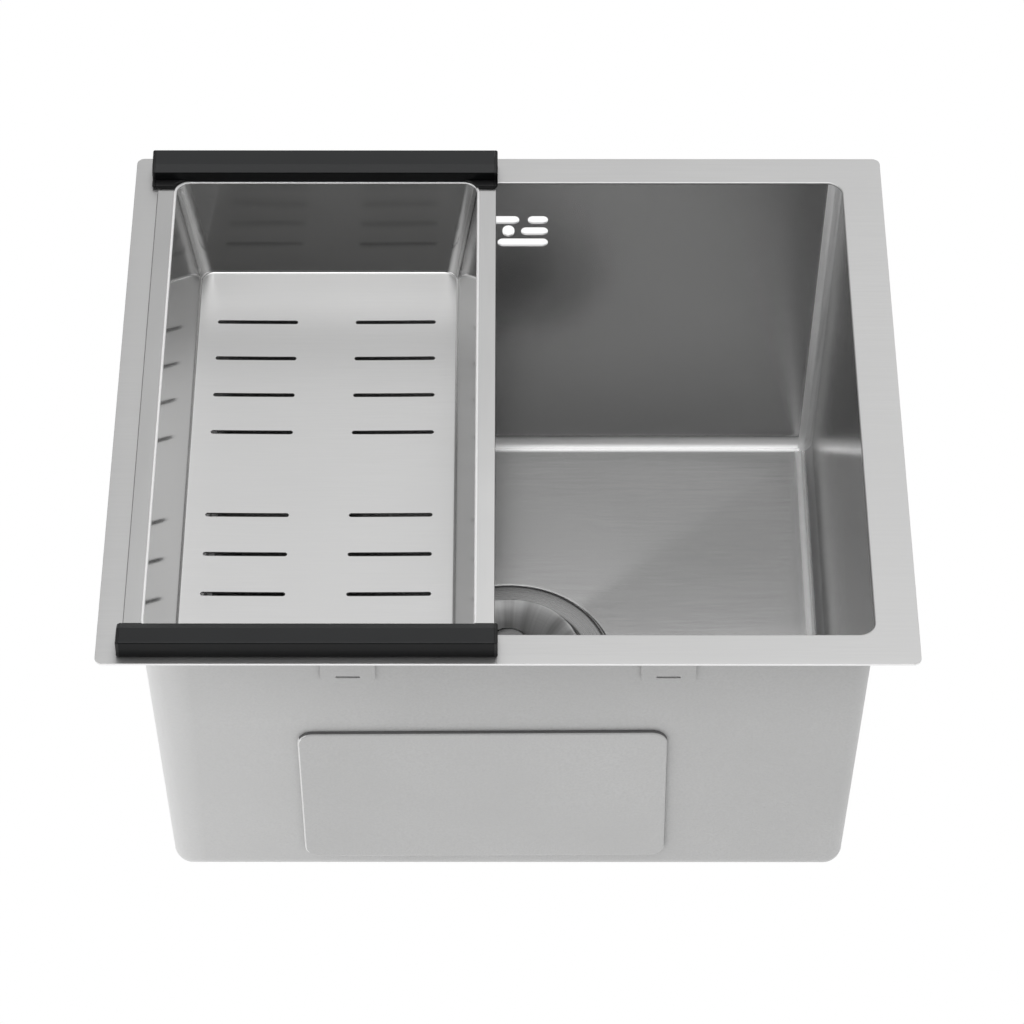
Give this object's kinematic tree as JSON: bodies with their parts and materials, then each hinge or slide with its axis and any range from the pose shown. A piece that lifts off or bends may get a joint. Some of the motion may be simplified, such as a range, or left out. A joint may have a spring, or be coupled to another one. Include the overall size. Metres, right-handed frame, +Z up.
{
  "type": "workstation kitchen sink",
  "caption": "Square single-bowl kitchen sink with a flat rim, a slotted overflow, a basket strainer waste and a colander tray that slides across the bowl on its two black handles.",
  "frame": {"origin": "centre of the rim on its underside, which is the middle of the worktop cut-out at the worktop's top face", "axes": "+X to the user's right, +Y from the front rim to the rear wall, +Z up"},
  "size_m": [0.5, 0.45, 0.3446],
  "materials": {
    "bowl_steel": "satin brushed stainless inside and on the rim, sprayed light grey coat outside",
    "sound_pad": "light grey coated sound pad",
    "bracket_paint": "light grey coated steel",
    "waste_steel": "turned satin stainless",
    "gasket_rubber": "black rubber",
    "waste_plastic": "matte black plastic",
    "insert_brass": "plain brass",
    "basket_steel": "polished stainless",
    "knob_metal": "polished metal",
    "tray_steel": "satin stainless",
    "handle_plastic": "satin black plastic",
    "strip_silicone": "black silicone"
  },
  "bodies": {
    "sink": {"bowl_shell": "bowl_steel", "front_sound_pad": "sound_pad", "rear_sound_pad": "sound_pad", "left_sound_pad": "sound_pad", "right_sound_pad": "sound_pad", "base_left_sound_pad": "sound_pad", "base_right_sound_pad": "sound_pad", "clip_brackets": "bracket_paint", "strainer_flange": "waste_steel", "flange_gasket": "gasket_rubber", "body_gasket": "gasket_rubber", "strainer_body": "waste_plastic", "screw_insert": "insert_brass", "clamp_screw": "waste_steel", "overflow_inlet_cap": "waste_plastic", "inlet_cap_washer": "gasket_rubber"},
    "basket": {"basket_cup": "basket_steel", "basket_stem": "basket_steel", "basket_knob": "knob_metal", "stopper_seal": "gasket_rubber", "seal_retainer": "basket_steel"},
    "colander": {"colander_tray": "tray_steel", "rear_handle": "handle_plastic", "front_handle": "handle_plastic", "rear_left_end_cap": "handle_plastic", "rear_right_end_cap": "handle_plastic", "front_left_end_cap": "handle_plastic", "front_right_end_cap": "handle_plastic", "handle_studs": "tray_steel", "rear_glide_strip": "strip_silicone", "front_glide_strip": "strip_silicone"}
  },
  "joints": [
    {"name": "colander_slide", "type": "slide", "parent": "sink", "child": "colander", "axis": [1, 0, 0], "range_m": [0, 0.2428]},
    {"name": "basket_lift", "type": "slide", "parent": "sink", "child": "basket", "axis": [0, 0, 1], "range_m": [0, 0.12]}
  ]
}
